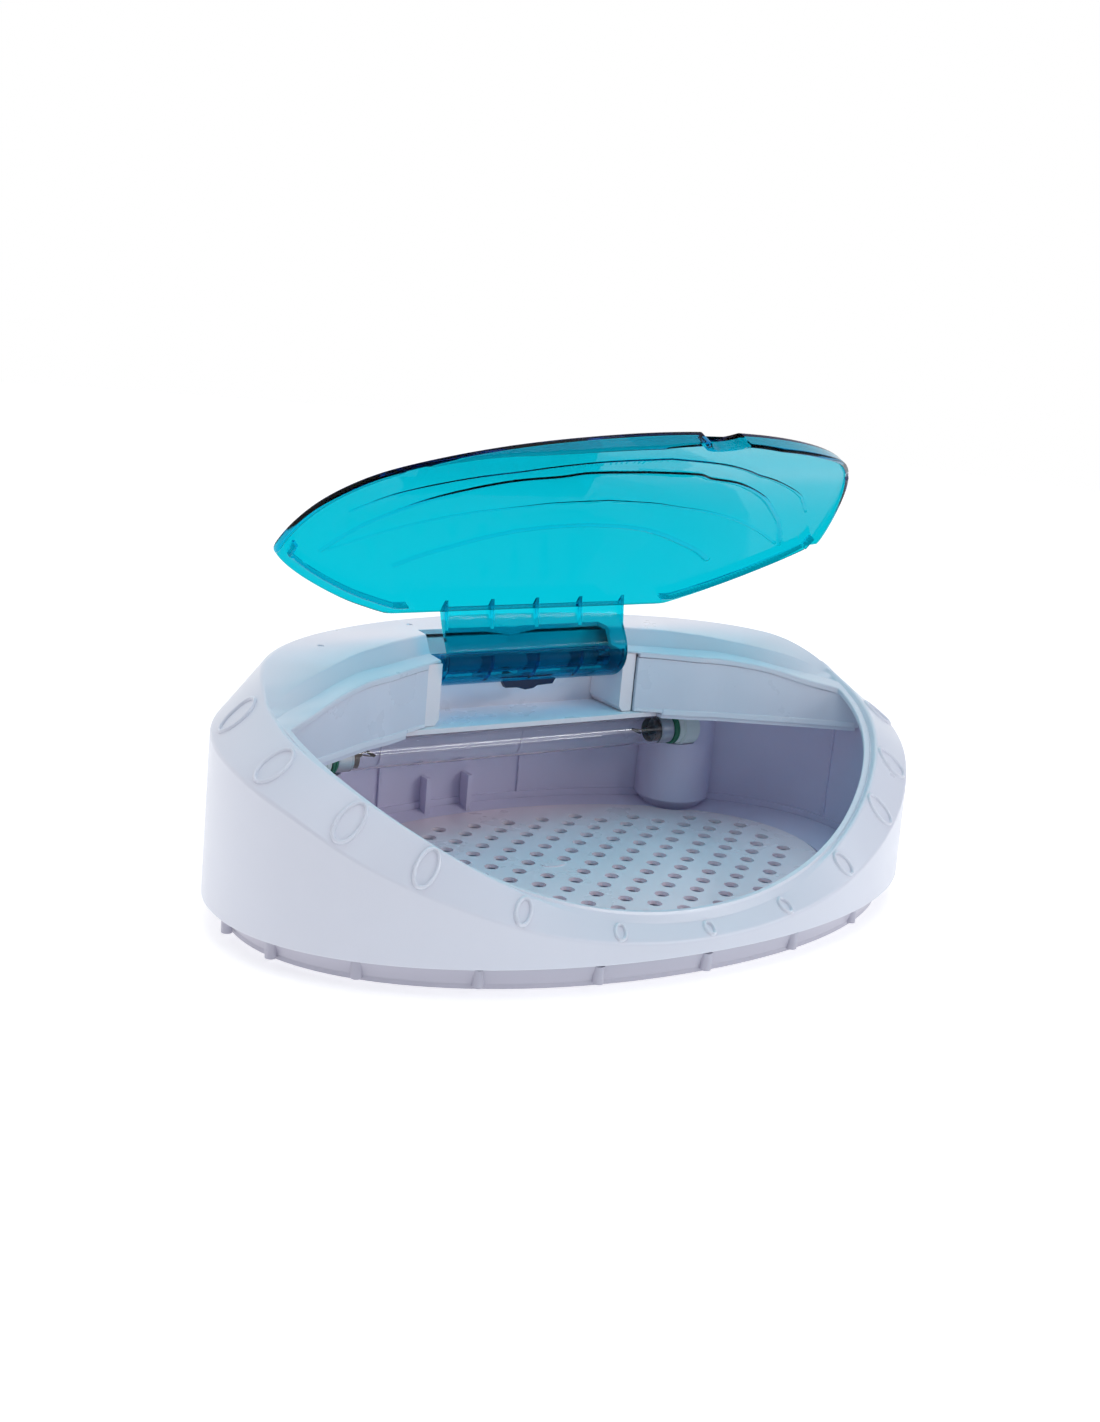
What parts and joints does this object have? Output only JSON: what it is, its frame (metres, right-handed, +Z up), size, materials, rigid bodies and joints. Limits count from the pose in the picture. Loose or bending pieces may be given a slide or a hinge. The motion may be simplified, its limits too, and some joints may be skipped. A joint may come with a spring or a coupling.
{
  "type": "uv tool sterilizer",
  "caption": "Tabletop cabinet that disinfects small hand tools under a germicidal tube lamp, with a sloped oval mouth, a perforated tray and a tinted lid on a friction hinge.",
  "frame": {"origin": "centre of the oval body at the level it stands on", "axes": "+X to the right seen from the front, +Y to the back, +Z up; the lid is shown open at rest"},
  "size_m": [0.3956, 0.242, 0.249],
  "materials": {
    "casing_white": "gloss",
    "base_white": "satin",
    "liner": "satin",
    "tray_enamel": "satin",
    "bay_white": "gloss",
    "lid_tint": "gloss translucent",
    "arm_tint": "gloss translucent",
    "tab_blue": "gloss",
    "black_plastic": "matte",
    "steel_pin": "satin",
    "steel_screw": "satin",
    "quartz": "clear",
    "lamp_cap": "satin",
    "brass_pin": "satin",
    "cathode": "satin",
    "holder": "satin",
    "seal_green": "matte",
    "board": "satin",
    "choke": "satin",
    "capacitor": "satin",
    "foot_rubber": "matte"
  },
  "bodies": {
    "cabinet": {"ballast_board": "board", "ballast_capacitor": "capacitor", "ballast_choke": "choke", "ballast_transistors": "black_plastic", "base_pan": "base_white", "bracket_left": "bay_white", "bracket_right": "bay_white", "casing_front": "casing_white", "casing_left": "casing_white", "casing_rear_left": "casing_white", "casing_rear_right": "casing_white", "casing_right": "casing_white", "chamber_column_left": "liner", "chamber_column_right": "liner", "chamber_floor": "liner", "chamber_wall_left": "liner", "chamber_wall_right": "liner", "cord_gland": "black_plastic", "foot_front_left": "foot_rubber", "foot_front_right": "foot_rubber", "foot_rear_left": "foot_rubber", "foot_rear_right": "foot_rubber", "hinge_bay": "bay_white", "hinge_pin_left": "steel_pin", "hinge_pin_right": "steel_pin", "holder_seal_left": "seal_green", "holder_seal_right": "seal_green", "hood_pan": "liner", "hood_panel_left": "liner", "hood_panel_right": "liner", "interlock_switch": "black_plastic", "lamp_cap_left": "lamp_cap", "lamp_cap_right": "lamp_cap", "lamp_cathode_left": "cathode", "lamp_cathode_right": "cathode", "lamp_glass": "quartz", "lamp_pin_left_a": "brass_pin", "lamp_pin_left_b": "brass_pin", "lamp_pin_right_a": "brass_pin", "lamp_pin_right_b": "brass_pin", "lampholder_left": "holder", "lampholder_right": "holder", "screw_1": "steel_screw", "screw_2": "steel_screw", "screw_3": "steel_screw", "screw_4": "steel_screw", "switch_bezel": "black_plastic"},
    "lid": {"lid_shell": "lid_tint", "lid_arm": "arm_tint", "interlock_tab": "tab_blue"},
    "plunger": {"interlock_plunger": "black_plastic"},
    "rocker": {"switch_rocker": "black_plastic"},
    "tray": {"tray": "tray_enamel"}
  },
  "joints": [
    {"name": "lid_hinge", "type": "hinge", "parent": "cabinet", "child": "lid", "pos_m": [0, 0.0665, 0.1085], "axis": [1, 0, 0], "range_deg": [0, 65]},
    {"name": "rocker_pivot", "type": "hinge", "parent": "cabinet", "child": "rocker", "pos_m": [0.06728, 0.11169, 0.0865], "axis": [0, 0, -1], "range_deg": [0, 12]},
    {"name": "plunger_slide", "type": "slide", "parent": "cabinet", "child": "plunger", "axis": [0, 1, 0], "range_m": [0, 0.0025], "stiffness_N_per_m": 200, "springref_m": -0.001},
    {"name": "tray_lift", "type": "slide", "parent": "cabinet", "child": "tray", "axis": [0, 0, 1], "range_m": [0, 0.012]}
  ]
}
